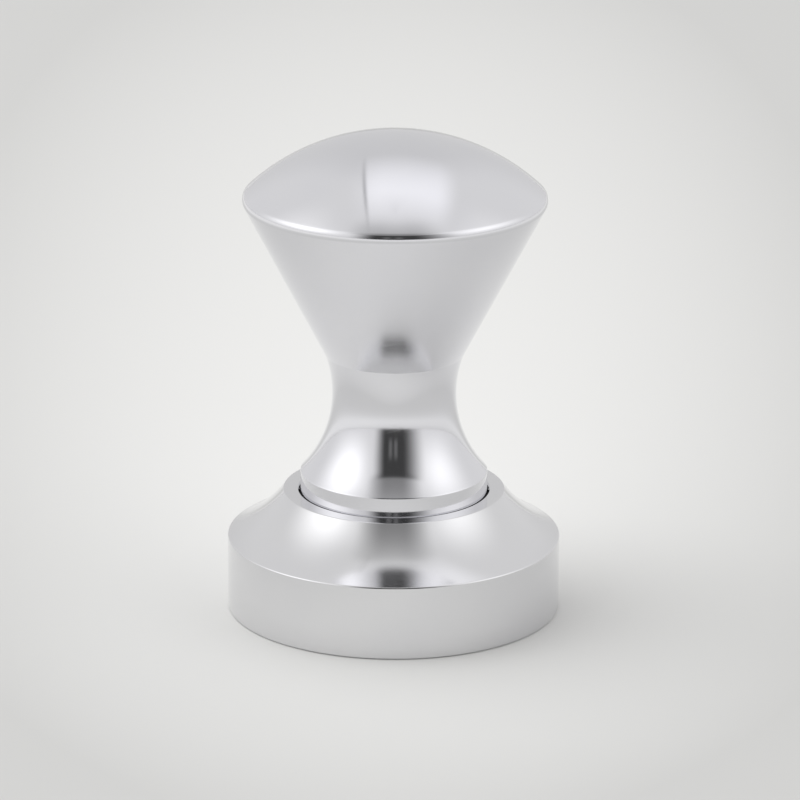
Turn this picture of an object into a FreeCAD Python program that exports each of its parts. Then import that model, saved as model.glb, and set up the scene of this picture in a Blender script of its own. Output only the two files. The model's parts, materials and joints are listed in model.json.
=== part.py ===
"""Spring-calibrated espresso tamper.

A round foot with a bored collar carries a stem. A one-piece turned handle slides down over the
stem against a preloaded spring and turns freely on it. The tamping face lies on z = 0, the axis
of every turned piece is the Z axis, and lengths are in millimetres.
"""

import FreeCAD
import Part
import Sketcher

import math
import os
from typing import NamedTuple

SIZES = [
    # the outline of the whole tamper, measured from the tamping face
    ("overall_height", 84.9, "tamping face to the top of the dome"),
    ("foot_diameter", 58.0, "straight side that enters the filter basket"),
    ("foot_side", 13.0, "height of the straight side"),
    ("flare_curve", 24.8, "radius of the hollow flare between the side and the collar"),
    ("rim_height", 21.3, "top face of the collar"),
    ("rim_width", 2.75, "width of the collar's flat top face"),
    ("skirt_diameter", 32.6, "straight band at the handle's foot"),
    ("skirt_band", 3.4, "straight band that shows above the collar"),
    ("skirt_curve", 20.9, "radius of the hollow neck"),
    ("waist_diameter", 24.0, "where the neck meets the cone"),
    ("waist_height", 45.9, "where the neck meets the cone"),
    ("grip_diameter", 53.3, "sharp corner between the cone and the dome"),
    ("dome_rise", 11.0, "height of the dome above that corner"),
    # edge finishes that show
    ("lip_round", 1.65, "round between the cone and the dome"),
    ("skirt_round", 0.35, "upper edge of the skirt band"),
    ("foot_round", 0.35, "upper edge of the foot's side"),
    ("rim_round", 0.25, "outer edge of the collar's top face"),
    ("edge_break", 0.25, "chamfer on other turned edges"),
    # the sliding joint between the handle and the foot
    ("press_travel", 3.0, "stroke from rest to the stop ring"),
    ("skirt_clearance", 0.2, "radial gap between the skirt and the collar"),
    ("stop_thickness", 1.0, "stop ring on the recess floor"),
    ("stop_width", 4.8, "radial width of the stop ring"),
    ("stop_clearance", 0.15, "radial gap round the stop ring"),
    ("seal_cover", 0.1, "collar's top face to the seal groove, at rest"),
    ("seal_offset", 1.0, "skirt's lower face to the seal groove"),
    ("seal_groove_width", 1.8, "seal groove in the skirt"),
    ("seal_groove_depth", 1.2, "seal groove in the skirt"),
    ("seal_clearance", 0.04, "gap between the seal and what it lies in"),
    ("running_clearance", 0.05, "radial gap of every guided fit"),
    # the stem and what guides it
    ("stem_diameter", 10.0, "ground shaft that runs in the bush"),
    ("thread_diameter", 8.0, "major diameter of the stem's thread"),
    ("base_wall", 2.4, "foot's wall under the point of the tapped hole"),
    ("thread_clearance", 0.05, "radial gap between plain cylinders that stand for threads"),
    ("thread_runout", 1.2, "hole depth past the end of the thread"),
    ("relief_width", 1.5, "undercut between the thread and the shoulder"),
    ("relief_depth", 0.8, "undercut between the thread and the shoulder"),
    ("drill_angle", 118.0, "point angle of the tapping drill, in degrees"),
    ("head_height", 5.0, "stem's head"),
    ("head_clearance", 0.2, "radial gap between the stem's head and the bore"),
    ("guide_width", 2.4, "split guide ring round the stem's head"),
    ("guide_depth", 0.9, "groove of the guide ring"),
    ("guide_side_play", 0.05, "play of the guide ring in its groove"),
    ("guide_split", 12.0, "opening of the split guide ring, in degrees"),
    ("bore_diameter", 15.0, "handle's bore, which holds the spring"),
    ("nut_step", 2.5, "radial step from the bore to the nut's thread"),
    ("nut_inset", 0.6, "nut's face above the skirt's lower face"),
    ("nut_length", 8.4, "retaining nut"),
    ("nut_lip", 1.4, "lip of the nut above the bush"),
    ("lip_clearance", 0.4, "radial gap between that lip and the stem"),
    ("bush_wall", 1.45, "guide bush"),
    ("spanner_hole", 1.6, "diameter of the pin spanner's holes in the nut"),
    ("spanner_depth", 3.0, "depth of those holes"),
    ("bumper_thickness", 1.5, "rebound bumper under the stem's head"),
    ("bumper_clearance", 0.3, "radial gap inside and outside the bumper"),
    # the spring and its seats
    ("seat_thickness", 1.2, "plastic seat that the spring turns on"),
    ("cap_thickness", 1.5, "steel cap over the spring"),
    ("seat_clearance", 0.4, "radial gap between the seat or the cap and the bore"),
    ("spigot_height", 3.0, "boss of the seat and of the cap inside the spring"),
    ("spigot_clearance", 0.25, "radial gap between that boss and the spring"),
    ("spigot_chamfer", 0.5, "lead-in on that boss"),
    ("spring_length", 30.0, "preloaded length of the spring at rest"),
    ("spring_wire", 1.8, "wire diameter"),
    ("spring_clearance", 0.85, "radial gap between the spring and the bore"),
    ("spring_coils", 10.0, "working coils, without the closed one at each end"),
    ("coil_gap", 0.08, "gap inside a closed end coil"),
    ("shim_thick", 0.5, "thicker calibration shim"),
    ("shim_thin", 0.3, "thinner calibration shim"),
    ("shim_width", 3.2, "radial width of the shims"),
]

# Distances that follow from the sizes, as expressions for sketches and features.
RIM_BORE = "Sizes.skirt_diameter / 2 + Sizes.skirt_clearance"
RIM_OUTSIDE = f"{RIM_BORE} + Sizes.rim_width"
BORE = "Sizes.bore_diameter / 2"
NUT_THREAD = f"{BORE} + Sizes.nut_step"
STEM = "Sizes.stem_diameter / 2"
THREAD = "Sizes.thread_diameter / 2"
THREAD_HOLE = f"{THREAD} + Sizes.thread_clearance"
BUSH_BORE = f"{STEM} + Sizes.running_clearance"
BUSH_OUTSIDE = f"{BUSH_BORE} + Sizes.bush_wall"
HEAD = f"{BORE} - Sizes.head_clearance"
GUIDE_FLOOR = f"{HEAD} - Sizes.guide_depth"
SEAL_FLOOR = "Sizes.skirt_diameter / 2 - Sizes.seal_groove_depth"
COIL = f"{BORE} - Sizes.spring_clearance - Sizes.spring_wire / 2"
SPIGOT = f"{COIL} - Sizes.spring_wire / 2 - Sizes.spigot_clearance"
SEAT = f"{BORE} - Sizes.seat_clearance"

# Heights of the stack inside the handle, from the tamping face upwards.
SEAL_GROOVE_TOP = "Sizes.rim_height - Sizes.seal_cover"
SEAL_GROOVE_FOOT = f"{SEAL_GROOVE_TOP} - Sizes.seal_groove_width"
SKIRT_FACE = f"{SEAL_GROOVE_FOOT} - Sizes.seal_offset"
STOP_TOP = f"{SKIRT_FACE} - Sizes.press_travel"
FLOOR = f"{STOP_TOP} - Sizes.stop_thickness"
NUT_FACE = f"{SKIRT_FACE} + Sizes.nut_inset"
NUT_TOP = f"{NUT_FACE} + Sizes.nut_length"
HEAD_FACE = f"{NUT_TOP} + Sizes.bumper_thickness"
HEAD_TOP = f"{HEAD_FACE} + Sizes.head_height"
SEAT_TOP = f"{HEAD_TOP} + Sizes.seat_thickness"
SPRING_TOP = f"{SEAT_TOP} + Sizes.spring_length"
CAP_TOP = f"{SPRING_TOP} + Sizes.cap_thickness"
BORE_TOP = f"{CAP_TOP} + Sizes.shim_thick + Sizes.shim_thin"
SKIRT_EDGE = "Sizes.rim_height + Sizes.skirt_band"
GRIP_HEIGHT = "Sizes.overall_height - Sizes.dome_rise"
DRILL_POINT = f"({THREAD_HOLE}) / tan(Sizes.drill_angle / 2)"
HOLE_DEPTH = f"{FLOOR} - Sizes.base_wall - {DRILL_POINT}"
THREAD_LENGTH = f"{HOLE_DEPTH} - Sizes.thread_runout"

SKETCH_VERTICAL_AXIS = -2
SKETCH_HORIZONTAL_AXIS = -1
START, END, CENTRE = 1, 2, 3
MATCH = 1e-5

doc = FreeCAD.newDocument("Tamper")
sheet = doc.addObject("Spreadsheet::Sheet", "Sizes")


class Corner(NamedTuple):
    """One corner of a turned profile, and the side that leads to the next corner."""

    radius: str
    height: str
    hollow: str = ""  # radius of a hollow arc to the next corner, empty for a straight side
    domed: bool = False  # an arc to the next corner that is centred on the axis


def fill_sheet():
    for row, (alias, number, note) in enumerate(SIZES, start=1):
        sheet.set(f"A{row}", alias)
        sheet.set(f"B{row}", str(number))
        sheet.set(f"C{row}", note)
        sheet.setAlias(f"B{row}", alias)
    doc.recompute()


def value(expression):
    """The number that an expression on the sheet stands for."""
    return float(sheet.evalExpression(expression))


def new_body(name, height="0"):
    """A body whose own zero lies at a height above the tamping face."""
    body = doc.addObject("PartDesign::Body", name)
    body.Label = name
    body.setExpression("Placement.Base.z", height)
    return body


def new_sketch(body, name, role, lift="0"):
    """A sketch on one of the body's origin planes, lifted along the plane's normal."""
    sketch = body.newObject("Sketcher::SketchObject", name)
    plane = next(o for o in body.Origin.OriginFeatures if o.Role == role)
    sketch.AttachmentSupport = [(plane, "")]
    sketch.MapMode = "FlatFace"
    sketch.setExpression("AttachmentOffset.Base.z", lift)
    return sketch


def drive(sketch, label, constraint, expression):
    """Adds a dimension to a sketch and binds it to the sheet."""
    index = sketch.addConstraint(constraint)
    sketch.renameConstraint(index, label)
    sketch.setExpression(f"Constraints.{label}", expression)


def circle_sketch(body, name, radius, lift="0", offset="0"):
    """A circle on the XY plane, centred on the axis or offset from it along X."""
    sketch = new_sketch(body, name, "XY_Plane", lift)
    centre = FreeCAD.Vector(value(offset), 0, 0)
    up = FreeCAD.Vector(0, 0, 1)
    ring = sketch.addGeometry(Part.Circle(centre, up, value(radius)))
    drive(sketch, "radius", Sketcher.Constraint("Radius", ring, value(radius)), radius)
    sketch.addConstraint(Sketcher.Constraint("PointOnObject", ring, CENTRE, SKETCH_HORIZONTAL_AXIS))
    if value(offset):
        reach = Sketcher.Constraint("DistanceX", -1, START, ring, CENTRE, value(offset))
        drive(sketch, "offset", reach, offset)
    else:
        sketch.addConstraint(Sketcher.Constraint("PointOnObject", ring, CENTRE, SKETCH_VERTICAL_AXIS))
    return sketch


def hollow_arc(start, end, radius):
    """The arc between two points that curves in towards the axis, and which end it starts from."""
    chord = end - start
    rise = math.sqrt(radius**2 - chord.Length**2 / 4)
    outwards = FreeCAD.Vector(chord.y, -chord.x, 0).normalize()
    centre = (start + end) / 2 + outwards * rise
    return arc_between(start, end, centre)


def arc_between(start, end, centre):
    """The short arc round a centre, and whether it runs clockwise from start to end."""
    up = FreeCAD.Vector(0, 0, 1)
    clockwise = (start - centre).cross(end - centre).z < 0
    first, last = (end, start) if clockwise else (start, end)
    angles = [math.atan2(p.y - centre.y, p.x - centre.x) for p in (first, last)]
    circle = Part.Circle(centre, up, (start - centre).Length)
    return Part.ArcOfCircle(circle, *angles), clockwise


def add_side(sketch, corner, start, end):
    """Adds the side that leaves a corner. Returns its index and its first and last end."""
    if corner.hollow:
        arc, clockwise = hollow_arc(start, end, value(corner.hollow))
    elif corner.domed:
        low, high = (start, end) if start.y < end.y else (end, start)
        drop = high.y - low.y
        radius = (drop**2 + low.x**2) / (2 * drop)
        arc, clockwise = arc_between(start, end, FreeCAD.Vector(0, high.y - radius, 0))
    else:
        return sketch.addGeometry(Part.LineSegment(start, end)), START, END
    index = sketch.addGeometry(arc)
    return (index, END, START) if clockwise else (index, START, END)


def place_corners(sketch, corners, sides):
    """Dimensions every corner once, along X as a radius and along Y as a height."""
    axes = [
        ("DistanceX", "Vertical", SKETCH_VERTICAL_AXIS, "radius"),
        ("DistanceY", "Horizontal", SKETCH_HORIZONTAL_AXIS, "height"),
    ]
    count = len(corners)
    for distance, alignment, axis, field in axes:
        wanted = [getattr(corner, field) for corner in corners]
        aligned = [
            wanted[i] == wanted[(i + 1) % count] and not (corners[i].hollow or corners[i].domed)
            for i in range(count)
        ]
        for i in range(count):
            if aligned[i]:
                sketch.addConstraint(Sketcher.Constraint(alignment, sides[i][0]))
            if aligned[i - 1]:
                continue
            line, first, _ = sides[i]
            if value(wanted[i]) == 0:
                sketch.addConstraint(Sketcher.Constraint("PointOnObject", line, first, axis))
                continue
            size = Sketcher.Constraint(distance, -1, START, line, first, value(wanted[i]))
            drive(sketch, f"{field}_{i}", size, wanted[i])


def profile_sketch(body, name, corners):
    """A closed, fully constrained half section in the XZ plane, from its corners in order."""
    sketch = new_sketch(body, name, "XZ_Plane")
    points = [FreeCAD.Vector(value(c.radius), value(c.height), 0) for c in corners]
    sides = []
    for i, corner in enumerate(corners):
        sides.append(add_side(sketch, corner, points[i], points[(i + 1) % len(points)]))
    for i, (line, first, _) in enumerate(sides):
        before, _, last = sides[i - 1]
        sketch.addConstraint(Sketcher.Constraint("Coincident", before, last, line, first))
    place_corners(sketch, corners, sides)
    for i, corner in enumerate(corners):
        line = sides[i][0]
        if corner.hollow:
            bend = Sketcher.Constraint("Radius", line, value(corner.hollow))
            drive(sketch, f"curve_{i}", bend, corner.hollow)
        if corner.domed:
            sketch.addConstraint(
                Sketcher.Constraint("PointOnObject", line, CENTRE, SKETCH_VERTICAL_AXIS)
            )
    return sketch


def spin(body, name, corners, kind="PartDesign::Revolution", angle="360"):
    """Turns a half section round the axis, as solid or as a groove."""
    sketch = profile_sketch(body, f"{name}_section", corners)
    feature = body.newObject(kind, name)
    feature.Profile = (sketch, [""])
    feature.ReferenceAxis = (sketch, ["V_Axis"])
    feature.setExpression("Angle", angle)
    doc.recompute()
    return feature


def rectangle(inside, outside, bottom, top):
    """The four corners of a ring's section."""
    return [
        Corner(inside, bottom),
        Corner(outside, bottom),
        Corner(outside, top),
        Corner(inside, top),
    ]


def circles_at(feature, places):
    """Names of the feature's round edges at the given pairs of radius and height."""
    wanted = [(value(radius), value(height)) for radius, height in places]
    names = []
    for number, edge in enumerate(feature.Shape.Edges, start=1):
        if edge.Degenerated:
            continue
        curve = edge.Curve
        if curve.TypeId != "Part::GeomCircle" or abs(curve.Axis.z) < 1 - MATCH:
            continue
        for radius, height in wanted:
            if abs(curve.Radius - radius) < MATCH and abs(curve.Center.z - height) < MATCH:
                names.append(f"Edge{number}")
    if len(names) != len(places):
        raise RuntimeError(f"{feature.Label} has {len(names)} of {len(places)} edges")
    return names


def dress(body, kind, size, places):
    """A fillet or a chamfer on the round edges at the given radii and heights."""
    base = body.Tip
    feature = body.newObject(kind, f"{body.Name}_{size}")
    feature.Base = (base, circles_at(base, places))
    feature.setExpression("Radius" if kind.endswith("Fillet") else "Size", f"Sizes.{size}")
    doc.recompute()
    return feature


def make_foot():
    """The foot: tamping face, straight side, hollow flare, and the collar with its recess."""
    side = "Sizes.foot_diameter / 2"
    foot = new_body("foot")
    spin(
        foot,
        "foot_turned",
        [
            Corner("0", "0"),
            Corner(side, "0"),
            Corner(side, "Sizes.foot_side", hollow="Sizes.flare_curve"),
            Corner(RIM_OUTSIDE, "Sizes.rim_height"),
            Corner(RIM_BORE, "Sizes.rim_height"),
            Corner(RIM_BORE, FLOOR),
            Corner("0", FLOOR),
        ],
    )
    mouth = circle_sketch(foot, "foot_hole_circle", THREAD_HOLE, FLOOR)
    doc.recompute()
    hole = foot.newObject("PartDesign::Hole", "foot_stem_hole")
    hole.Profile = mouth
    hole.DepthType = "Dimension"
    hole.DrillPoint = "Angled"
    hole.setExpression("DrillPointAngle", "Sizes.drill_angle")
    hole.setExpression("Diameter", f"2 * ({THREAD_HOLE})")
    hole.setExpression("Depth", HOLE_DEPTH)
    doc.recompute()
    dress(foot, "PartDesign::Fillet", "foot_round", [(side, "Sizes.foot_side")])
    dress(foot, "PartDesign::Fillet", "rim_round", [(RIM_OUTSIDE, "Sizes.rim_height")])
    dress(
        foot,
        "PartDesign::Chamfer",
        "edge_break",
        [
            (side, "0"),
            (RIM_BORE, "Sizes.rim_height"),
            (THREAD_HOLE, FLOOR),
        ],
    )


def make_handle():
    """The handle: skirt band, hollow neck, cone and dome, bored out from below."""
    skirt = "Sizes.skirt_diameter / 2"
    waist = "Sizes.waist_diameter / 2"
    grip = "Sizes.grip_diameter / 2"
    nut_bore = f"{NUT_THREAD} + Sizes.thread_clearance"
    handle = new_body("handle")
    spin(
        handle,
        "handle_turned",
        [
            Corner("0", BORE_TOP),
            Corner(BORE, BORE_TOP),
            Corner(BORE, NUT_TOP),
            Corner(nut_bore, NUT_TOP),
            Corner(nut_bore, SKIRT_FACE),
            Corner(skirt, SKIRT_FACE),
            Corner(skirt, SKIRT_EDGE, hollow="Sizes.skirt_curve"),
            Corner(waist, "Sizes.waist_height"),
            Corner(grip, GRIP_HEIGHT, domed=True),
            Corner("0", "Sizes.overall_height"),
        ],
    )
    spin(
        handle,
        "handle_seal_groove",
        rectangle(SEAL_FLOOR, f"{skirt} + 1", SEAL_GROOVE_FOOT, SEAL_GROOVE_TOP),
        kind="PartDesign::Groove",
    )
    dress(handle, "PartDesign::Fillet", "lip_round", [(grip, GRIP_HEIGHT)])
    dress(handle, "PartDesign::Fillet", "skirt_round", [(skirt, SKIRT_EDGE)])
    dress(
        handle,
        "PartDesign::Chamfer",
        "edge_break",
        [(skirt, SKIRT_FACE), (nut_bore, SKIRT_FACE), (BORE, NUT_TOP)],
    )


def make_stem():
    """The stem: threaded end, ground shaft, and a head with a groove for the guide ring."""
    relief = f"{THREAD} - Sizes.relief_depth"
    head_face = f"{HEAD_FACE} - ({FLOOR})"
    head_top = f"{HEAD_TOP} - ({FLOOR})"
    thread_end = f"-({THREAD_LENGTH})"
    stem = new_body("stem", FLOOR)
    spin(
        stem,
        "stem_turned",
        [
            Corner("0", thread_end),
            Corner(THREAD, thread_end),
            Corner(THREAD, "-Sizes.relief_width"),
            Corner(relief, "-Sizes.relief_width"),
            Corner(relief, "0"),
            Corner(STEM, "0"),
            Corner(STEM, head_face),
            Corner(HEAD, head_face),
            Corner(HEAD, head_top),
            Corner("0", head_top),
        ],
    )
    middle = f"({head_face} + {head_top}) / 2"
    half = "(Sizes.guide_width / 2 + Sizes.guide_side_play)"
    spin(
        stem,
        "stem_guide_groove",
        rectangle(GUIDE_FLOOR, f"{HEAD} + 1", f"{middle} - {half}", f"{middle} + {half}"),
        kind="PartDesign::Groove",
    )
    dress(
        stem,
        "PartDesign::Chamfer",
        "edge_break",
        [(THREAD, thread_end), (STEM, "0"), (HEAD, head_face), (HEAD, head_top)],
    )


def make_ring(name, inside, outside, height, thickness):
    """A plain flat ring, padded from its own lower face."""
    ring = new_body(name, height)
    sketch = circle_sketch(ring, f"{name}_circles", outside)
    up = FreeCAD.Vector(0, 0, 1)
    hole = sketch.addGeometry(Part.Circle(FreeCAD.Vector(), up, value(inside)))
    sketch.addConstraint(Sketcher.Constraint("Coincident", hole, CENTRE, -1, START))
    drive(sketch, "inside", Sketcher.Constraint("Radius", hole, value(inside)), inside)
    pad = ring.newObject("PartDesign::Pad", f"{name}_pad")
    pad.Profile = sketch
    pad.setExpression("Length", thickness)
    doc.recompute()
    return ring


def make_stop_ring():
    outside = f"{RIM_BORE} - Sizes.stop_clearance"
    inside = f"{outside} - Sizes.stop_width"
    make_ring("stop_ring", inside, outside, FLOOR, "Sizes.stop_thickness")


def make_bumper_ring():
    inside = f"{STEM} + Sizes.bumper_clearance"
    outside = f"{BORE} - Sizes.bumper_clearance"
    make_ring("bumper_ring", inside, outside, NUT_TOP, "Sizes.bumper_thickness")


def make_guide_bush():
    length = "Sizes.nut_length - Sizes.nut_lip"
    bush = make_ring("guide_bush", BUSH_BORE, BUSH_OUTSIDE, NUT_FACE, length)
    edges = [(BUSH_BORE, "0"), (BUSH_BORE, length), (BUSH_OUTSIDE, length)]
    dress(bush, "PartDesign::Chamfer", "edge_break", edges)


def make_shims():
    """Two flat shims between the spring's cap and the end of the bore, which set the force."""
    outside = SEAT
    inside = f"{SEAT} - Sizes.shim_width"
    make_ring("shim_thick", inside, outside, CAP_TOP, "Sizes.shim_thick")
    make_ring("shim_thin", inside, outside, f"{CAP_TOP} + Sizes.shim_thick", "Sizes.shim_thin")


def make_guide_ring():
    """The split ring that centres the stem's head in the bore."""
    inside = f"{GUIDE_FLOOR} + Sizes.guide_side_play"
    outside = f"{BORE} - Sizes.running_clearance"
    middle = f"({HEAD_FACE} + {HEAD_TOP}) / 2"
    ring = new_body("guide_ring", f"{middle} - Sizes.guide_width / 2")
    section = rectangle(inside, outside, "0", "Sizes.guide_width")
    spin(ring, "guide_ring_turned", section, angle="360 - Sizes.guide_split")


def make_nut():
    """The retaining nut: lip over the bush, and holes for a pin spanner in its lower face."""
    lip = f"{STEM} + Sizes.lip_clearance"
    lip_face = "Sizes.nut_length - Sizes.nut_lip"
    nut = new_body("retaining_nut", NUT_FACE)
    spin(
        nut,
        "nut_turned",
        [
            Corner(BUSH_OUTSIDE, "0"),
            Corner(NUT_THREAD, "0"),
            Corner(NUT_THREAD, "Sizes.nut_length"),
            Corner(lip, "Sizes.nut_length"),
            Corner(lip, lip_face),
            Corner(BUSH_OUTSIDE, lip_face),
        ],
    )
    pitch = f"({BUSH_OUTSIDE} + {NUT_THREAD}) / 2"
    circle = circle_sketch(nut, "nut_spanner_circle", "Sizes.spanner_hole / 2", offset=pitch)
    pocket = nut.newObject("PartDesign::Pocket", "nut_spanner_hole")
    pocket.Profile = circle
    pocket.Reversed = True
    pocket.setExpression("Length", "Sizes.spanner_depth")
    pattern = nut.newObject("PartDesign::PolarPattern", "nut_spanner_holes")
    pattern.Originals = [pocket]
    pattern.Axis = (next(o for o in nut.Origin.OriginFeatures if o.Role == "Z_Axis"), [""])
    pattern.Occurrences = 4
    nut.Tip = pattern
    doc.recompute()
    edges = [(NUT_THREAD, "0"), (NUT_THREAD, "Sizes.nut_length")]
    dress(nut, "PartDesign::Chamfer", "edge_break", edges)


def make_spring_ends():
    """The plastic seat under the spring and the steel cap over it, each with a boss."""
    ends = [
        ("spring_seat", HEAD_TOP, "Sizes.seat_thickness", ""),
        ("spring_cap", SPRING_TOP, "Sizes.cap_thickness", "-"),
    ]
    for name, height, thickness, below in ends:
        base, face = ("0", thickness) if not below else (thickness, "0")
        tip = f"{face} {below or '+'} Sizes.spigot_height"
        neck = f"{tip} {'+' if below else '-'} Sizes.spigot_chamfer"
        end = new_body(name, height)
        spin(
            end,
            f"{name}_turned",
            [
                Corner("0", base),
                Corner(SEAT, base),
                Corner(SEAT, face),
                Corner(SPIGOT, face),
                Corner(SPIGOT, neck),
                Corner(f"{SPIGOT} - Sizes.spigot_chamfer", tip),
                Corner("0", tip),
            ],
        )
        dress(end, "PartDesign::Chamfer", "edge_break", [(SEAT, base)])


def coil_height(turns, length, wire, closed, total):
    """Height of the wire's centre after a number of turns, closed up at both ends."""
    tip = wire * 0.2
    working = length - 2 * (tip + closed)
    if turns < 1:
        return tip + closed * turns
    if turns > total - 1:
        return length - tip - closed * (total - turns)
    return tip + closed + working * (turns - 1) / (total - 2)


def make_spring():
    """The compression spring, with closed ends ground flat."""
    length = value("Sizes.spring_length")
    wire = value("Sizes.spring_wire")
    radius = value(COIL)
    closed = wire + value("Sizes.coil_gap")
    total = value("Sizes.spring_coils") + 2
    steps_per_turn = 24
    points = []
    for step in range(int(total * steps_per_turn) + 1):
        turns = step / steps_per_turn
        angle = 2 * math.pi * turns
        height = coil_height(turns, length, wire, closed, total)
        points.append(FreeCAD.Vector(radius * math.cos(angle), radius * math.sin(angle), height))
    path = Part.BSplineCurve()
    path.interpolate(points)
    spine = Part.Wire([path.toShape()])
    section = Part.Wire([Part.Circle(points[0], points[1] - points[0], wire / 2).toShape()])
    sweep = Part.BRepOffsetAPI.MakePipeShell(spine)
    sweep.setBiNormalMode(FreeCAD.Vector(0, 0, 1))
    sweep.add(section)
    sweep.build()
    sweep.makeSolid()
    ground = Part.makeCylinder(radius + 2 * wire, length)
    spring = doc.addObject("Part::Feature", "main_spring")
    spring.Label = "main_spring"
    spring.Shape = sweep.shape().common(ground)
    spring.setExpression("Placement.Base.z", SEAT_TOP)


def make_seal():
    """The seal ring in the skirt's groove, which centres the skirt and keeps coffee out."""
    seal = doc.addObject("Part::Torus", "skirt_seal")
    seal.Label = "skirt_seal"
    seal.setExpression("Radius1", f"({SEAL_FLOOR} + {RIM_BORE}) / 2")
    seal.setExpression("Radius2", f"({RIM_BORE} - ({SEAL_FLOOR})) / 2 - Sizes.seal_clearance")
    seal.setExpression("Placement.Base.z", f"{SEAL_GROOVE_FOOT} + Sizes.seal_groove_width / 2")


def check_features():
    """Stops on a failed feature, a loose sketch, or a cut that removes nothing."""
    cuts = ("PartDesign::Groove", "PartDesign::Pocket", "PartDesign::Hole")
    for item in doc.Objects:
        if "Invalid" in item.State or "Error" in item.State:
            raise RuntimeError(f"{item.Label} failed: {item.State}")
        if item.TypeId == "Sketcher::SketchObject" and not item.FullyConstrained:
            raise RuntimeError(f"{item.Label} isn't fully constrained")
        if item.TypeId in cuts and item.Shape.Volume >= item.BaseFeature.Shape.Volume:
            raise RuntimeError(f"{item.Label} cuts nothing")


def export_pieces():
    """Writes one STEP file for each sub-part, once all of them are sound."""
    kinds = ("PartDesign::Body", "Part::Feature", "Part::Torus")
    pieces = [item for item in doc.Objects if item.TypeId in kinds]
    for piece in pieces:
        shape = piece.Shape
        if shape.isNull() or not shape.isValid() or len(shape.Solids) != 1:
            raise RuntimeError(f"{piece.Label} isn't one valid solid")
    os.makedirs("parts", exist_ok=True)
    for piece in pieces:
        piece.Shape.exportStep(f"parts/{piece.Label}.step")
        print(f"{piece.Label}: {piece.Shape.Volume:.1f} mm3")


fill_sheet()
make_foot()
make_stop_ring()
make_stem()
make_guide_ring()
make_spring_ends()
make_spring()
make_shims()
make_handle()
make_nut()
make_guide_bush()
make_bumper_ring()
make_seal()
doc.recompute()
check_features()
export_pieces()
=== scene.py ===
import bpy
import json
from math import atan2, cos, degrees, pi, radians, sin, sqrt, tan
from mathutils import Matrix, Vector


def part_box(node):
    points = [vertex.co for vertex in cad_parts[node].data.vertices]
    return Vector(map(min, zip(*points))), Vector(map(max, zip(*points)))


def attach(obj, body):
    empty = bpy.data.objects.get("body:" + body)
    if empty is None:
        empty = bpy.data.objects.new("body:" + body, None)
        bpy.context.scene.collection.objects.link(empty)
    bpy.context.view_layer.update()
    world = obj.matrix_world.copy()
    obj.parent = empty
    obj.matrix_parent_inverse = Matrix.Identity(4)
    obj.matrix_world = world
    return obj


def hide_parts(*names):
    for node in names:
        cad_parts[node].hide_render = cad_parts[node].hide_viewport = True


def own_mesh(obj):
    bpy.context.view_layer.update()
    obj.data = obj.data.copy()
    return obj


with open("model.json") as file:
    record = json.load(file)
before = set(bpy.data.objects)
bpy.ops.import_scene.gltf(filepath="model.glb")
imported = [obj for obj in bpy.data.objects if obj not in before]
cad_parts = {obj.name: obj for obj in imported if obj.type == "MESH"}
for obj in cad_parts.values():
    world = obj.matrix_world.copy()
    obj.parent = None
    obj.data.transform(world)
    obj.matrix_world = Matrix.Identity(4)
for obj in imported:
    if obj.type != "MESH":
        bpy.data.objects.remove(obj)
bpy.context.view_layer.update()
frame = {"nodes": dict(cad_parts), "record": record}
nodes = frame["nodes"]
print("frame loaded:", len(nodes), "nodes")


turning = {
    "steps": 256,  # round the axis
    "guard": 0.00012,  # from the end of a straight run to the ring beside it
    "roundSteps": 8,
    "mergeReach": 0.000002,
    "smoothAngle": 8,  # degrees
}


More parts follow.
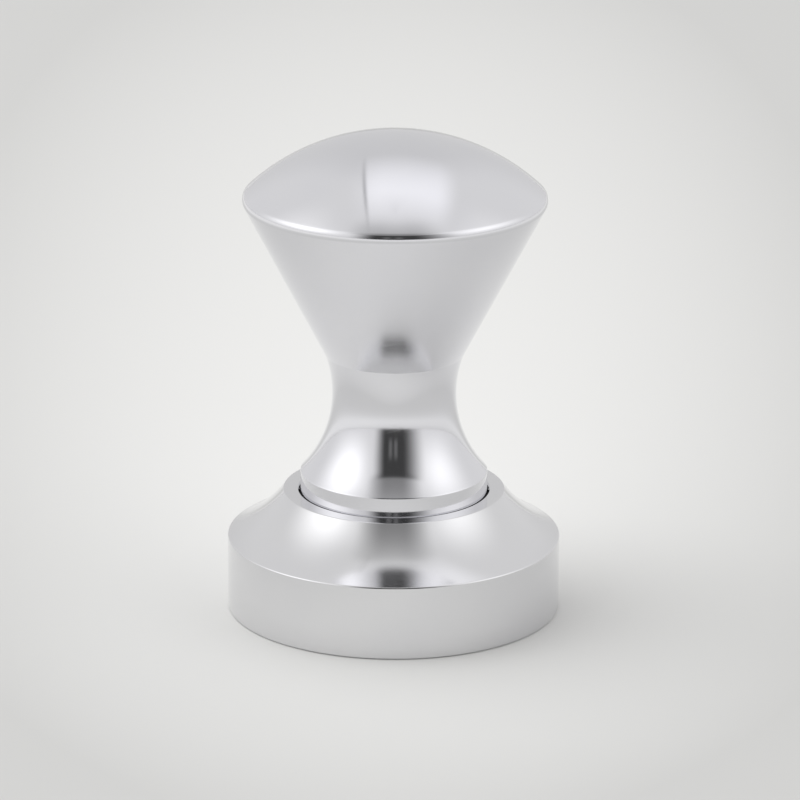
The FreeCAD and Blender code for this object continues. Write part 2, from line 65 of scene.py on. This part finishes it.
class Pen:
    # grows one vertex into the half section of a turned piece; points are (radius, height)

    def __init__(self, name, radius, height):
        bpy.ops.object.select_all(action="DESELECT")
        bpy.ops.mesh.primitive_plane_add(size=0.001)
        self.piece = bpy.context.object
        self.piece.name = name
        bpy.ops.object.mode_set(mode="EDIT")
        bpy.ops.mesh.select_all(action="SELECT")
        bpy.ops.mesh.merge(type="CENTER")
        bpy.ops.transform.translate(value=(radius, 0, height))
        self.at = Vector((radius, height))

    def step(self, point):
        move = point - self.at
        bpy.ops.mesh.extrude_vertices_move(TRANSFORM_OT_translate={"value": (move.x, 0, move.y)})
        self.at = point

    def line(self, radius, height):
        # rings close to both ends keep a long flat face's shading flat
        guard = turning["guard"]
        start = self.at
        end = Vector((radius, height))
        run = end - start
        if run.length > 4 * guard:
            self.step(start + run.normalized() * guard)
            self.step(end - run.normalized() * guard)
        self.step(end)

    def arc(self, centre, angle, steps):
        # a positive angle turns from the radius axis towards the height axis
        bpy.ops.mesh.spin(
            steps=steps, angle=angle, center=(centre.x, 0, centre.y), axis=(0, 1, 0)
        )
        self.at = centre + Matrix.Rotation(angle, 2) @ (self.at - centre)

    def curve(self, radius, height, bend, steps):
        # an arc of radius bend to a point; a positive bend turns left on the way
        end = Vector((radius, height))
        centre = arcCentre(self.at, end, bend)
        self.arc(centre, turnAngle(self.at - centre, end - centre), steps)

    def corner(self, radius, height, leave, size, steps=turning["roundSteps"]):
        # a straight run that ends in a round, whose far end points along leave
        corner = Vector((radius, height))
        arrive = (corner - self.at).normalized()
        turn = turnAngle(arrive, leave)
        back = size * tan(abs(turn) / 2)
        start = corner - arrive * back
        self.line(start.x, start.y)
        side = Vector((-arrive.y, arrive.x)) * (1 if turn > 0 else -1)
        self.arc(start + side * size, turn, steps)

    def turned(self):
        # the finished half section goes once round the axis
        steps = turning["steps"]
        bpy.ops.mesh.select_all(action="SELECT")
        bpy.ops.mesh.spin(steps=steps, angle=2 * pi, center=(0, 0, 0), axis=(0, 0, 1))
        bpy.ops.mesh.select_all(action="SELECT")
        bpy.ops.mesh.remove_doubles(threshold=turning["mergeReach"])
        bpy.ops.mesh.normals_make_consistent(inside=False)
        bpy.ops.object.mode_set(mode="OBJECT")
        bpy.ops.object.shade_smooth_by_angle(angle=radians(turning["smoothAngle"]))
        return self.piece


def turnAngle(before, after):
    # from one direction to another, left turns positive
    return atan2(before.x * after.y - before.y * after.x, before.dot(after))


def arcCentre(start, end, bend):
    chord = end - start
    left = Vector((-chord.y, chord.x)).normalized()
    rise = sqrt(bend * bend - chord.length_squared / 4)
    return (start + end) / 2 + left * (rise if bend > 0 else -rise)


def tangentAt(point, centre, bend):
    # travel direction on an arc that turns left for a positive bend
    spoke = (point - centre).normalized()
    return Vector((-spoke.y, spoke.x)) * (1 if bend > 0 else -1)


class Socket:
    # a link that can be used in sums

    def __init__(self, graph, link):
        self.graph = graph
        self.link = link

    def other(self, name):
        return Socket(self.graph, self.link.node.outputs[name])

    def sum(self, operation, *terms):
        return self.graph.add("ShaderNodeMath", {"operation": operation}, dict(enumerate(terms)))

    def __add__(self, term):
        return self.sum("ADD", self, term)

    def __radd__(self, term):
        return self.sum("ADD", term, self)

    def __sub__(self, term):
        return self.sum("SUBTRACT", self, term)

    def __rsub__(self, term):
        return self.sum("SUBTRACT", term, self)

    def __mul__(self, term):
        return self.sum("MULTIPLY", self, term)

    def __rmul__(self, term):
        return self.sum("MULTIPLY", term, self)

    def __truediv__(self, term):
        return self.sum("DIVIDE", self, term)

    def __rtruediv__(self, term):
        return self.sum("DIVIDE", term, self)

    def __pow__(self, term):
        return self.sum("POWER", self, term)

    def __neg__(self):
        return self.sum("MULTIPLY", self, -1)

    def __abs__(self):
        return self.sum("ABSOLUTE", self)


class Graph:
    # a node tree with one way to add any node

    def __init__(self, tree):
        self.tree = tree
        tree.nodes.clear()

    def add(self, kind, settings=None, sockets=None, output=0):
        node = self.tree.nodes.new(kind)
        for key, setting in (settings or {}).items():
            setattr(node, key, setting)
        for key, given in (sockets or {}).items():
            if isinstance(given, Socket):
                self.tree.links.new(given.link, node.inputs[key])
            else:
                node.inputs[key].default_value = given
        return Socket(self, node.outputs[output]) if node.outputs else node

    def ramp(self, value, low, high, atLow=0.0, atHigh=1.0, soft=True):
        # goes from atLow to atHigh while value goes from low to high
        settings = {"interpolation_type": "SMOOTHSTEP" if soft else "LINEAR"}
        return self.add(
            "ShaderNodeMapRange",
            settings,
            {
                "Value": value,
                "From Min": low,
                "From Max": high,
                "To Min": atLow,
                "To Max": atHigh,
            },
        )

    def mix(self, factor, first, second):
        return self.add(
            "ShaderNodeMix", {"data_type": "RGBA"}, {0: factor, 6: first, 7: second}, output=2
        )

    def noise(self, vector, scale, detail=2.0, roughness=0.5):
        sockets = {"Vector": vector, "Scale": scale, "Detail": detail, "Roughness": roughness}
        return self.add("ShaderNodeTexNoise", None, sockets)

    def place(self):
        return self.add("ShaderNodeTexCoord", output="Object")

    def split(self, vector):
        parts = self.add("ShaderNodeSeparateXYZ", None, {0: vector})
        return parts, parts.other("Y"), parts.other("Z")

    def join(self, x, y, z):
        return self.add("ShaderNodeCombineXYZ", None, {0: x, 1: y, 2: z})


def newMaterial(name):
    material = bpy.data.materials.new(name)
    material.use_nodes = True
    return material, Graph(material.node_tree)


def finishSurface(graph, sockets):
    surface = graph.add("ShaderNodeBsdfPrincipled", None, sockets)
    graph.add("ShaderNodeOutputMaterial", None, {"Surface": surface})


def turnedPlace(graph):
    # object coordinates, a section whose pattern runs round the axis, and the height
    place = graph.place()
    x, y, z = graph.split(place)
    return place, graph.join((x * x + y * y) ** 0.5, 0.0, z), z


def turnedMetal(name, look, dulled=None):
    # polished on the lathe: fine rings, a few hairlines, and a soft unevenness in the polish
    # dulled is where a less polished stretch starts and ends, and its extra roughness
    material, graph = newMaterial(name)
    place, section, height = turnedPlace(graph)
    rings = graph.noise(section, look["ringScale"], 6.0, 0.65)
    broad = graph.noise(section, look["broadScale"], 2.0)
    cloud = graph.noise(place, look["cloudScale"], 3.0)
    smear = graph.noise(
        graph.add(
            "ShaderNodeMapping",
            None,
            {"Vector": place, "Rotation": look["smearTurn"], "Scale": look["smearStretch"]},
        ),
        look["smearScale"],
        4.0,
    )
    hair = graph.ramp(abs(smear - 0.5), 0.0, look["hairWidth"], 1.0, 0.0)
    rough = (
        look["roughness"]
        + (rings - 0.5) * look["ringRoughness"]
        + (cloud - 0.5) * look["cloudRoughness"]
        + hair * look["hairRoughness"]
    )
    if dulled:
        start, end, extra = dulled
        soft = look["dulledEdge"]
        rough = rough + graph.ramp(height, start, start + soft) * graph.ramp(
            height, end - soft, end, extra, 0.0
        )
    tone = graph.mix(graph.ramp(cloud, 0.3, 0.7), look["colour"], look["colourTwo"])
    bump = graph.add(
        "ShaderNodeBump",
        None,
        {
            "Strength": 1.0,
            "Distance": look["bumpDepth"],
            "Height": rings * look["ringShare"] + broad * (1 - look["ringShare"]),
        },
    )
    finishSurface(
        graph,
        {
            "Base Color": tone,
            "Metallic": 1.0,
            "Roughness": rough,
            "Anisotropic": look["grain"],
            "Anisotropic Rotation": look["grainTurn"],
            "Normal": bump,
        },
    )
    return material


def plastic(name, look):
    # machined acetal: dull, with faint tool rings and a slightly mottled body
    material, graph = newMaterial(name)
    place, section = turnedPlace(graph)[:2]
    rings = graph.noise(section, look["ringScale"], 4.0)
    grain = graph.noise(place, look["grainScale"], 4.0)
    tone = graph.mix(graph.ramp(grain, 0.35, 0.65), look["colour"], look["colourTwo"])
    bump = graph.add(
        "ShaderNodeBump",
        None,
        {"Strength": 1.0, "Distance": look["bumpDepth"], "Height": rings + grain * 0.5},
    )
    finishSurface(
        graph,
        {
            "Base Color": tone,
            "Roughness": look["roughness"] + (grain - 0.5) * look["grainRoughness"],
            "Normal": bump,
        },
    )
    return material


print("shader helpers ready")


handleLook = {
    "neckBend": 0.0209,  # hollow neck
    "waistRadius": 0.012,
    "waistHeight": 0.0459,
    "lipRadius": 0.02665,  # corner of cone and dome, before its round
    "domeRise": 0.011,
    "lipRound": 0.00165,
    "bandSteps": 10,
    "neckSteps": 72,
    "lipSteps": 28,
    "domeSteps": 56,
    "bandTop": 0.0034,  # straight band above the collar
    "bandRound": 0.00035,
    "edge": 0.00025,
    "boreRadius": 0.0075,
    "threadGap": 0.00005,
    "bandRadius": 0.0163,
    "grooveDepth": 0.0012,
    "grooveWidth": 0.0018,
}


def lipRoundPlaces(look, top):
    # where a round of the lip's size touches the cone and the dome
    waist = Vector((look["waistRadius"], look["waistHeight"]))
    lip = Vector((look["lipRadius"], top - look["domeRise"]))
    rise = look["domeRise"]
    domeBend = (lip.x**2 + rise**2) / (2 * rise)
    domeCentre = Vector((0, top - domeBend))
    along = (lip - waist).normalized()
    inwards = Vector((-along.y, along.x))
    size = look["lipRound"]
    start = waist + inwards * size - domeCentre  # line on which the round's centre lies
    reach = start.dot(along)
    gap = start.length_squared - (domeBend - size) ** 2
    centre = domeCentre + start + along * (-reach + sqrt(reach**2 - gap))
    onCone = centre - inwards * size
    onDome = domeCentre + (centre - domeCentre).normalized() * domeBend
    return centre, onCone, onDome, domeCentre


def makeHandle(look):
    low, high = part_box("handle")
    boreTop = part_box("shim_thin")[1].z
    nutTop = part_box("retaining_nut")[1].z
    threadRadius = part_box("retaining_nut")[1].x + look["threadGap"]
    sealMiddle = (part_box("skirt_seal")[0].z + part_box("skirt_seal")[1].z) / 2
    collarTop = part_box("foot")[1].z
    edge = look["edge"]
    band = look["bandRadius"]
    floor = band - look["grooveDepth"]
    grooveLow = sealMiddle - look["grooveWidth"] / 2
    grooveHigh = sealMiddle + look["grooveWidth"] / 2
    bandTop = collarTop + look["bandTop"]

    pen = Pen("turnedHandle", 0, boreTop)
    pen.line(look["boreRadius"], boreTop)
    pen.line(look["boreRadius"], nutTop + edge)
    pen.line(look["boreRadius"] + edge, nutTop)
    pen.line(threadRadius, nutTop)
    pen.line(threadRadius, low.z + edge)
    pen.line(threadRadius + edge, low.z)
    pen.line(band - edge, low.z)
    pen.line(band, low.z + edge)
    pen.line(band, grooveLow)
    pen.line(floor, grooveLow)
    pen.line(floor, grooveHigh)
    pen.line(band, grooveHigh)
    neckStart = Vector((band, bandTop))
    waist = Vector((look["waistRadius"], look["waistHeight"]))
    neckCentre = arcCentre(neckStart, waist, -look["neckBend"])
    leave = tangentAt(neckStart, neckCentre, -look["neckBend"])
    pen.corner(band, bandTop, leave, look["bandRound"], look["bandSteps"])
    pen.curve(waist.x, waist.y, -look["neckBend"], look["neckSteps"])
    lipCentre, onCone, onDome, domeCentre = lipRoundPlaces(look, high.z)
    pen.line(onCone.x, onCone.y)
    pen.arc(lipCentre, turnAngle(onCone - lipCentre, onDome - lipCentre), look["lipSteps"])
    pen.arc(domeCentre, turnAngle(onDome - domeCentre, Vector((0, 1))), look["domeSteps"])
    handle = pen.turned()
    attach(handle, "handle")
    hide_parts("handle")
    return handle


handle = makeHandle(handleLook)
print("handle turned:", len(handle.data.polygons), "faces")


footLook = {
    "sideTop": 0.013,  # straight side that enters the basket
    "flareBend": 0.0248,
    "rimWidth": 0.00275,
    "sideRound": 0.00035,
    "rimRound": 0.00025,
    "sideSteps": 12,
    "flareSteps": 44,
    "rimSteps": 10,
    "edge": 0.00025,
    "holeRadius": 0.00405,
    "holeWall": 0.0024,  # left under the drill's point
    "drillAngle": 118,
    "collarGap": 0.0002,
}


def makeFoot(look):
    low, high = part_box("foot")
    side = min(high.x, high.y, -low.x, -low.y)
    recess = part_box("stop_ring")[0].z
    collar = handleLook["bandRadius"] + look["collarGap"]
    rim = collar + look["rimWidth"]
    edge = look["edge"]
    hole = look["holeRadius"]
    drillPoint = hole / tan(radians(look["drillAngle"] / 2))

    pen = Pen("turnedFoot", 0, low.z)
    pen.line(side - edge, low.z)
    pen.line(side, low.z + edge)
    flareStart = Vector((side, look["sideTop"]))
    flareEnd = Vector((rim, high.z))
    flareCentre = arcCentre(flareStart, flareEnd, -look["flareBend"])
    leave = tangentAt(flareStart, flareCentre, -look["flareBend"])
    arrive = tangentAt(flareEnd, flareCentre, -look["flareBend"])
    pen.corner(side, look["sideTop"], leave, look["sideRound"], look["sideSteps"])
    flat = Vector((-1, 0))
    turn = turnAngle(arrive, flat)
    roundStart = flareEnd - arrive * look["rimRound"] * tan(turn / 2)
    pen.curve(roundStart.x, roundStart.y, -look["flareBend"], look["flareSteps"])
    roundCentre = roundStart + Vector((-arrive.y, arrive.x)) * look["rimRound"]
    pen.arc(roundCentre, turn, look["rimSteps"])
    pen.line(collar + edge, high.z)
    pen.line(collar, high.z - edge)
    pen.line(collar, recess)
    pen.line(hole + edge, recess)
    pen.line(hole, recess - edge)
    pen.line(hole, look["holeWall"] + drillPoint)
    pen.line(0, look["holeWall"])
    foot = pen.turned()
    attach(foot, "foot")
    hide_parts("foot")
    return foot


foot = makeFoot(footLook)
print("foot turned:", len(foot.data.polygons), "faces")


springLook = {
    "wire": 0.0018,
    "meanRadius": 0.00575,
    "coils": 10,  # working coils
    "closedPitch": 0.00188,
    "groundShare": 0.2,  # height of the wire's centre at its tip, in wire diameters
    "stepsPerTurn": 32,
    "wireSides": 5,
    "smoothAngle": 40,  # degrees
    "pressed": 0.9,  # length left at full stroke
}


def coilHeight(turns, length, look):
    tip = look["wire"] * look["groundShare"]
    closed = look["closedPitch"]
    total = look["coils"] + 2
    if turns < 1:
        return tip + closed * turns
    if turns > total - 1:
        return length - tip - closed * (total - turns)
    return tip + closed + (length - 2 * (tip + closed)) * (turns - 1) / look["coils"]


def makeSpring(look):
    low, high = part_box("main_spring")
    length = high.z - low.z
    coil = bpy.data.curves.new("coil", "CURVE")
    coil.dimensions = "3D"
    coil.bevel_depth = look["wire"] / 2
    coil.bevel_resolution = look["wireSides"]
    coil.use_fill_caps = True
    line = coil.splines.new("POLY")
    count = (look["coils"] + 2) * look["stepsPerTurn"]
    line.points.add(count)
    for i in range(count + 1):
        turns = i / look["stepsPerTurn"]
        angle = 2 * pi * turns
        height = low.z + coilHeight(turns, length, look)
        x = look["meanRadius"] * cos(angle)
        y = look["meanRadius"] * sin(angle)
        line.points[i].co = (x, y, height, 1)
    spring = bpy.data.objects.new("woundSpring", coil)
    bpy.context.scene.collection.objects.link(spring)
    bpy.ops.object.select_all(action="DESELECT")
    spring.select_set(True)
    bpy.context.view_layer.objects.active = spring
    bpy.ops.object.convert(target="MESH")
    bpy.ops.object.mode_set(mode="EDIT")
    for height, side in ((low.z, -1), (high.z, 1)):
        bpy.ops.mesh.select_all(action="SELECT")
        bpy.ops.mesh.bisect(
            plane_co=(0, 0, height), plane_no=(0, 0, side), use_fill=True, clear_outer=True
        )
    bpy.ops.mesh.select_all(action="SELECT")
    bpy.ops.mesh.normals_make_consistent(inside=False)
    bpy.ops.object.mode_set(mode="OBJECT")
    bpy.ops.object.shade_smooth_by_angle(angle=radians(look["smoothAngle"]))
    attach(spring, "spring_carrier")
    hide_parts("main_spring")
    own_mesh(spring)
    return spring


spring = makeSpring(springLook)
print("spring wound:", len(spring.data.polygons), "faces")


aluminiumLook = {
    "colour": (0.82, 0.82, 0.845, 1),
    "colourTwo": (0.805, 0.805, 0.835, 1),
    "roughness": 0.085,
    "grain": 0.5,
    "grainTurn": 0.25,  # the marks run round the axis
    "ringScale": 2400.0,
    "broadScale": 130.0,
    "cloudScale": 60.0,
    "smearScale": 90.0,
    "smearTurn": (0.3, 0.2, 0.9),
    "smearStretch": (1.0, 14.0, 3.0),
    "hairWidth": 0.012,
    "dulledEdge": 0.001,
    "ringRoughness": 0.03,
    "cloudRoughness": 0.03,
    "hairRoughness": 0.03,
    "ringShare": 0.5,
    "bumpDepth": 0.0000006,
}
steelLook = {**aluminiumLook, "colour": (0.79, 0.79, 0.80, 1), "colourTwo": (0.775, 0.775, 0.79, 1)}
groundLook = {**aluminiumLook, "colour": (0.56, 0.56, 0.57, 1), "colourTwo": (0.5, 0.5, 0.51, 1)}
groundLook["roughness"] = 0.22
springSteelLook = {**groundLook, "colour": (0.36, 0.36, 0.37, 1), "colourTwo": (0.3, 0.3, 0.31, 1)}
brassLook = {**groundLook, "colour": (0.78, 0.57, 0.28, 1), "colourTwo": (0.72, 0.51, 0.24, 1)}
whiteLook = {
    "colour": (0.86, 0.85, 0.81, 1),
    "colourTwo": (0.82, 0.81, 0.77, 1),
    "roughness": 0.42,
    "ringScale": 1600.0,
    "grainScale": 900.0,
    "grainRoughness": 0.12,
    "bumpDepth": 0.000004,
}
blackLook = {**whiteLook, "colour": (0.035, 0.035, 0.038, 1), "colourTwo": (0.05, 0.05, 0.053, 1)}
rubberLook = {**blackLook, "colour": (0.018, 0.018, 0.02, 1), "colourTwo": (0.03, 0.03, 0.031, 1)}
rubberLook["roughness"] = 0.7

# less polished stretches: lowest and highest point, extra roughness
dullCone = (0.0456, 0.072, 0.035)
dullFlare = (0.0125, 0.0165, 0.065)

finishes = {
    "handle_aluminium": turnedMetal("polishedAluminium", aluminiumLook, dullCone),
    "foot_steel": turnedMetal("polishedSteel", steelLook, dullFlare),
    "ground_steel": turnedMetal("groundSteel", groundLook),
    "spring_steel": turnedMetal("oiledSpringSteel", springSteelLook),
    "nut_brass": turnedMetal("turnedBrass", brassLook),
    "white_acetal": plastic("whiteAcetal", whiteLook),
    "dark_acetal": plastic("blackAcetal", blackLook),
    "seal_rubber": plastic("sealRubber", rubberLook),
}


def giveFinish(piece, slot):
    piece.data.materials.clear()
    piece.data.materials.append(finishes[slot])


for part in frame["record"]["subparts"]:
    giveFinish(nodes[part["node"]], part["material_slot"])
giveFinish(handle, "handle_aluminium")
giveFinish(foot, "foot_steel")
giveFinish(spring, "spring_steel")
print("finishes given")


cameraLook = {
    "distance": 0.9242,
    "aim": (0, 0, 0.045),
    "elevation": 17.34,  # degrees
    "lookDown": 0.454,  # further than the aim, so that the object stands high in the frame
    "lookRight": 0.065,
    "roll": 0.27,
    "lens": 240.1,
    "sensor": 36,
    "clipStart": 0.01,
}


def makeCamera(look):
    rise = radians(look["elevation"])
    away = look["distance"]
    place = Vector(look["aim"]) + Vector((0, -away * cos(rise), away * sin(rise)))
    bpy.ops.object.camera_add(location=place)
    camera = bpy.context.object
    camera.name = "camera"
    camera.data.lens = look["lens"]
    camera.data.sensor_width = look["sensor"]
    camera.data.clip_start = look["clipStart"]
    down = radians(90 - look["elevation"] - look["lookDown"])
    camera.matrix_world = (
        Matrix.Translation(place)
        @ Matrix.Rotation(-radians(look["lookRight"]), 4, "Z")
        @ Matrix.Rotation(down, 4, "X")
        @ Matrix.Rotation(radians(look["roll"]), 4, "Z")
    )
    bpy.context.scene.camera = camera


makeCamera(cameraLook)


studioLook = {
    # brightness of the cloth tent, and where it changes: azimuth 0 is the front, right is positive
    "tent": 0.77,
    "backTent": (146, 170, 0.68),
    "leftBox": (-79, 1.43),  # azimuth of a side box's middle, extra brightness
    "rightBox": (77, 0.93),
    "boxSpread": 51,
    "boxRise": (-10, 60, 16, 69),  # elevations where the side boxes fade in and out
    # in the front the cloth opens on an unlit room, under a dim ceiling
    "gapLeft": (-37, -14.5),
    "gapRight": (14, 55),
    "gapTop": (44, 47),
    "room": 0.055,
    "streaks": (-1.5, 4.5, 5.0, 0.1),  # two faint lights in the room: middle, aside, width, light
    "streakRise": (6, 14, 22, 32),
    "dimSpread": (10, 50),
    "dimSlant": 0.25,
    "dimDepth": (-0.15, 0.03),
    "dimRise": (38, 47),
    "ceiling": 0.25,
    "ceilingRise": (45.0, 90.0),
    "ceilingCurve": 2.0,
    # the top box, in places on a ceiling one unit above the object
    "topBox": 1.05,
    "topLeft": (-0.215, -0.195),
    "topHalo": (-0.36, -0.08),
    "topRight": (0.28, 0.48),
    "topFront": (-0.24, 0.33),
    "topBack": (0.22, 1.2),
    "topFrame": (-0.205, 0.02, 0.5),  # place, width and depth of the dark edge on its left
    "topTint": 0.02,  # extra blue
    "green": 0.997,
    "lowestCeiling": 0.05,
    # a big soft lamp above and to the left
    "keyPower": 11.0,
    "keySize": 1.5,
    "keyPlace": (-0.58, 0.16, 1.8),
    # the floor's colour holds a painted pool of light: lightest a little behind the object, with
    # painted shade further off
    "floorSize": 12.0,
    "floorColour": (0.85, 0.85, 0.835, 1),
    "paintedShadeColour": (0.65, 0.65, 0.638, 1),
    "poolMiddle": 0.03,
    "poolWidth": (0.067, 0.068),  # half width at the object, and how it grows with depth
    "leastWidth": 0.03,
    "poolDepth": (0.405, 0.11),  # behind its middle and in front
    "poolEnd": 1.6,
    "outerColour": (0.85, 0.85, 0.84, 1),  # far to the sides and in front the painted shade ends and the floor is pale again
    "outerPlace": (0.105, 0.3),
    "grainScale": 900.0,
    "grainStrength": 0.4,
    "grainDepth": 0.00002,
}


def makeWorld(look):
    world = bpy.data.worlds.new("tent")
    bpy.context.scene.world = world
    world.use_nodes = True
    graph = Graph(world.node_tree)
    x, y, z = graph.split(graph.add("ShaderNodeTexCoord", output="Generated"))
    azimuth = x.sum("ARCTAN2", x, -y) * degrees(1)
    rise = z.sum("ARCSINE", z) * degrees(1)

    def fadeOut(value, ends):
        return graph.ramp(value, *ends, 1.0, 0.0)

    def between(value, ends):
        return fadeOut(value, ends[2:]) * graph.ramp(value, *ends[:2])

    backStart, backEnd, backLight = look["backTent"]
    light = graph.ramp(abs(azimuth), backStart, backEnd, look["tent"], backLight)
    boxes = between(rise, look["boxRise"])
    for middle, extra in (look["leftBox"], look["rightBox"]):
        light = light + boxes * graph.ramp(abs(azimuth - middle), 0, look["boxSpread"], extra, 0)

    aside = abs(x) / (y * y + z * z * look["dimSlant"]) ** 0.5 * degrees(1)
    near = fadeOut(aside, look["dimSpread"]) * fadeOut(y, look["dimDepth"])
    over = graph.ramp(rise, *look["ceilingRise"], soft=False) ** look["ceilingCurve"]
    ceiling = look["ceiling"] + (look["tent"] - look["ceiling"]) * over
    light = light + near * graph.ramp(rise, *look["dimRise"]) * (ceiling - light)
    gap = graph.ramp(azimuth, *look["gapLeft"]) * fadeOut(azimuth, look["gapRight"])
    streakMiddle, streakAside, streakWidth, streakLight = look["streaks"]
    streaks = fadeOut(abs(abs(azimuth - streakMiddle) - streakAside), (0, streakWidth))
    room = look["room"] + streaks * between(rise, look["streakRise"]) * streakLight
    light = light + gap * fadeOut(rise, look["gapTop"]) * (room - light)

    height = z.sum("MAXIMUM", z, look["lowestCeiling"])
    across = x / height
    back = y / height
    edge = (graph.ramp(across, *look["topLeft"]) + graph.ramp(across, *look["topHalo"])) * 0.5
    inDepth = graph.ramp(back, *look["topFront"]) * fadeOut(back, look["topBack"])
    top = edge * fadeOut(across, look["topRight"]) * inDepth
    light = light + top * (look["topBox"] - light)
    framePlace, frameWidth, frameDepth = look["topFrame"]
    light = light - fadeOut(abs(across - framePlace), (0, frameWidth)) * inDepth * frameDepth
    tint = graph.add(
        "ShaderNodeCombineColor",
        None,
        {0: light, 1: light * look["green"], 2: light + top * look["topTint"]},
    )
    background = graph.add("ShaderNodeBackground", None, {"Color": tint, "Strength": 1.0})
    graph.add("ShaderNodeOutputWorld", None, {"Surface": background})


def makeFloor(look):
    bpy.ops.mesh.primitive_plane_add(size=look["floorSize"])
    floor = bpy.context.object
    floor.name = "paleFloorPaintedPool"
    # a pale floor whose colour carries a painted pool of light around the object and painted shade
    # further off
    material, graph = newMaterial("paleFloorPaintedPool")
    place = graph.place()
    x, y = graph.split(place)[:2]
    width, growth = look["poolWidth"]
    behind, before = look["poolDepth"]
    along = y - look["poolMiddle"]
    depth = (along / behind).sum("MAXIMUM", along / behind, -along / before)
    across = x / (y * growth + width).sum("MAXIMUM", y * growth + width, look["leastWidth"])
    # painted shade: the floor colour darkens outward from the painted pool of light around the
    # object
    fade = graph.ramp(across * across + depth * depth, 0.0, look["poolEnd"], soft=False)
    tone = graph.mix(fade, look["floorColour"], look["paintedShadeColour"])
    front = y.sum("MINIMUM", y, 0.0)
    outer = (x * x + front * front) ** 0.5
    # far to the sides and in front the painted shade gives way to the pale floor colour again
    tone = graph.mix(graph.ramp(outer, *look["outerPlace"]), tone, look["outerColour"])
    grain = graph.noise(place, look["grainScale"], 3.0)
    bump = graph.add(
        "ShaderNodeBump",
        None,
        {"Strength": look["grainStrength"], "Distance": look["grainDepth"], "Height": grain},
    )
    finishSurface(
        graph,
        {"Base Color": tone, "Roughness": 1.0, "Specular IOR Level": 0.0, "Normal": bump},
    )
    floor.data.materials.append(material)


def makeKey(look):
    # it lights the floor, and the metal reflects only the tent's boxes
    place = Vector(look["keyPlace"])
    bpy.ops.object.light_add(type="AREA", location=place)
    lamp = bpy.context.object
    lamp.name = "keyLamp"
    lamp.data.shape = "DISK"
    lamp.data.size = look["keySize"]
    lamp.data.energy = look["keyPower"]
    lamp.rotation_euler = place.to_track_quat("Z", "Y").to_euler()
    lamp.visible_glossy = False
    lamp.visible_camera = False


makeWorld(studioLook)
makeFloor(studioLook)
makeKey(studioLook)
bpy.context.scene.view_settings.view_transform = "Standard"
print("studio ready")
